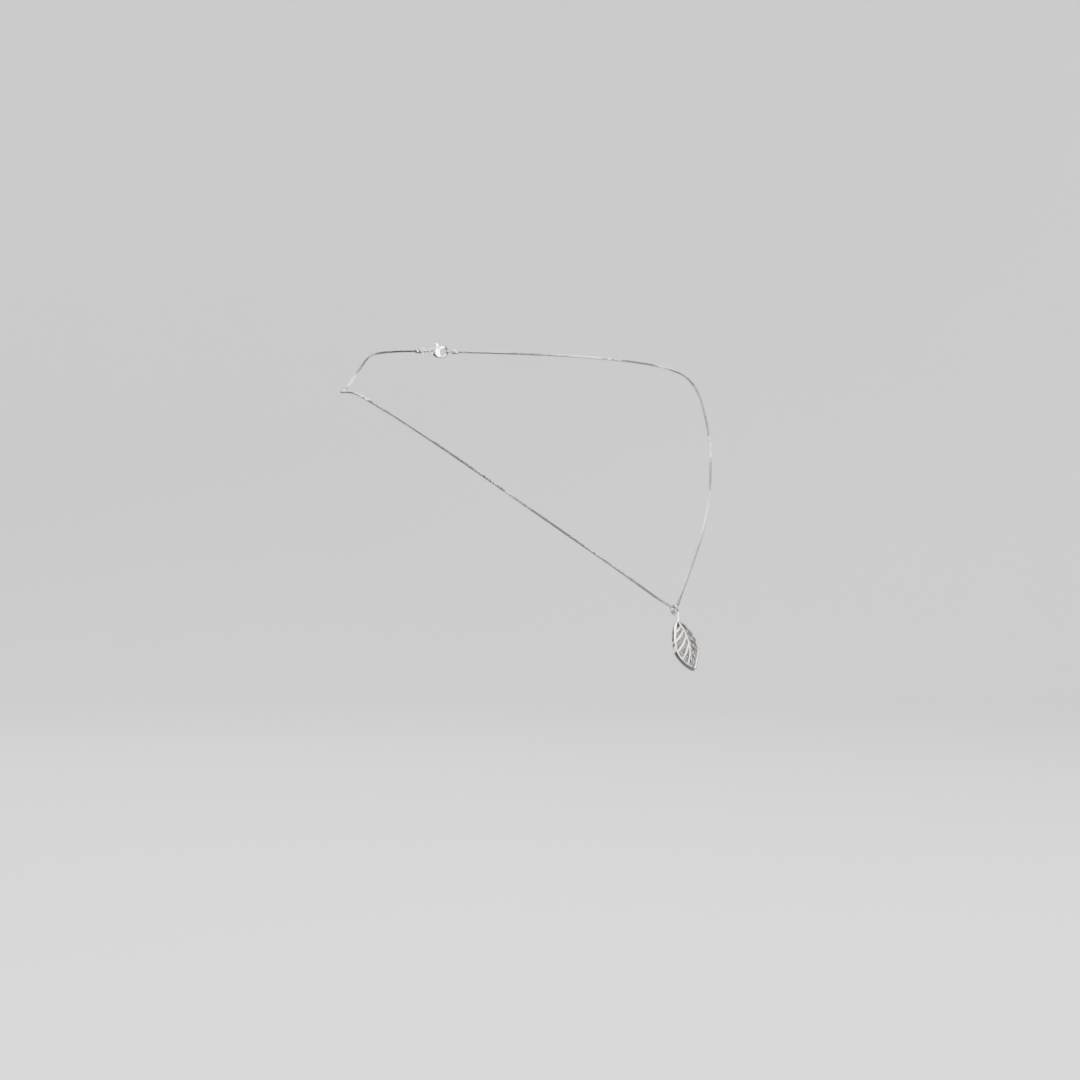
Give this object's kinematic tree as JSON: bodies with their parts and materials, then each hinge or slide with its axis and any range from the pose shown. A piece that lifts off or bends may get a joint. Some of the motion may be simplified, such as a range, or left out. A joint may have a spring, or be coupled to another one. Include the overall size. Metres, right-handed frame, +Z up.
{
  "type": "pendant necklace",
  "caption": "Fine silver box-chain necklace in its worn shape, with a lobster clasp at the nape and a stone-set leaf pendant that swings on its curled stem.",
  "frame": {"origin": "where the necklace bears on the nape, on the line of chain and clasp, in the middle plane", "axes": "+Z up as worn, -Y the way the wearer faces, +X to the wearer's left"},
  "size_m": [0.1616, 0.1487, 0.1131],
  "materials": {
    "silver": "polished, rhodium-bright sterling silver",
    "spring_steel": "rolled spring steel",
    "white_stone": "clear white round brilliants"
  },
  "bodies": {
    "chain": {"box_chain": "silver", "chain_cap_left": "silver", "chain_cap_right": "silver", "end_ring_left": "silver", "end_ring_right": "silver"},
    "jump_ring": {"jump_ring": "silver"},
    "clasp": {"clasp_body": "silver", "clasp_pin": "silver", "clasp_spring": "spring_steel"},
    "trigger": {"clasp_trigger": "silver"},
    "pendant": {"stem_bail": "silver", "leaf_frame": "silver", "leaf_gallery": "silver", "leaf_back": "silver", "stone_plate": "silver", "stone_01": "white_stone", "stone_02": "white_stone", "stone_03": "white_stone", "stone_04": "white_stone", "stone_05": "white_stone", "stone_06": "white_stone", "stone_07": "white_stone", "stone_08": "white_stone", "stone_09": "white_stone", "stone_10": "white_stone", "stone_11": "white_stone", "stone_12": "white_stone", "stone_13": "white_stone", "stone_14": "white_stone", "stone_15": "white_stone", "stone_16": "white_stone", "stone_17": "white_stone", "stone_18": "white_stone", "stone_19": "white_stone", "stone_20": "white_stone", "stone_21": "white_stone", "stone_22": "white_stone", "stone_23": "white_stone", "stone_24": "white_stone", "stone_25": "white_stone", "stone_26": "white_stone", "stone_27": "white_stone", "stone_28": "white_stone", "stone_29": "white_stone", "stone_30": "white_stone", "stone_31": "white_stone", "stone_32": "white_stone", "stone_33": "white_stone", "stone_34": "white_stone", "stone_35": "white_stone", "stone_36": "white_stone"}
  },
  "joints": [
    {"name": "pendant_swing", "type": "hinge", "parent": "chain", "child": "pendant", "pos_m": [0, -0.1361, -0.0893], "axis": [-1, 0, 0], "range_deg": [-60, 110]},
    {"name": "jump_ring_roll", "type": "hinge", "parent": "chain", "child": "jump_ring", "pos_m": [0, 0, 0], "axis": [1, 0, 0], "range_deg": [-15, 15]},
    {"name": "clasp_roll", "type": "hinge", "parent": "jump_ring", "child": "clasp", "pos_m": [0, 0, 0], "axis": [1, 0, 0], "range_deg": [-15, 15]},
    {"name": "trigger_press", "type": "hinge", "parent": "clasp", "child": "trigger", "pos_m": [0.00037, 0, 0.00115], "axis": [0, 1, 0], "range_deg": [0, 25], "stiffness_Nm_per_rad": 0.0002, "springref_deg": -17.19}
  ]
}
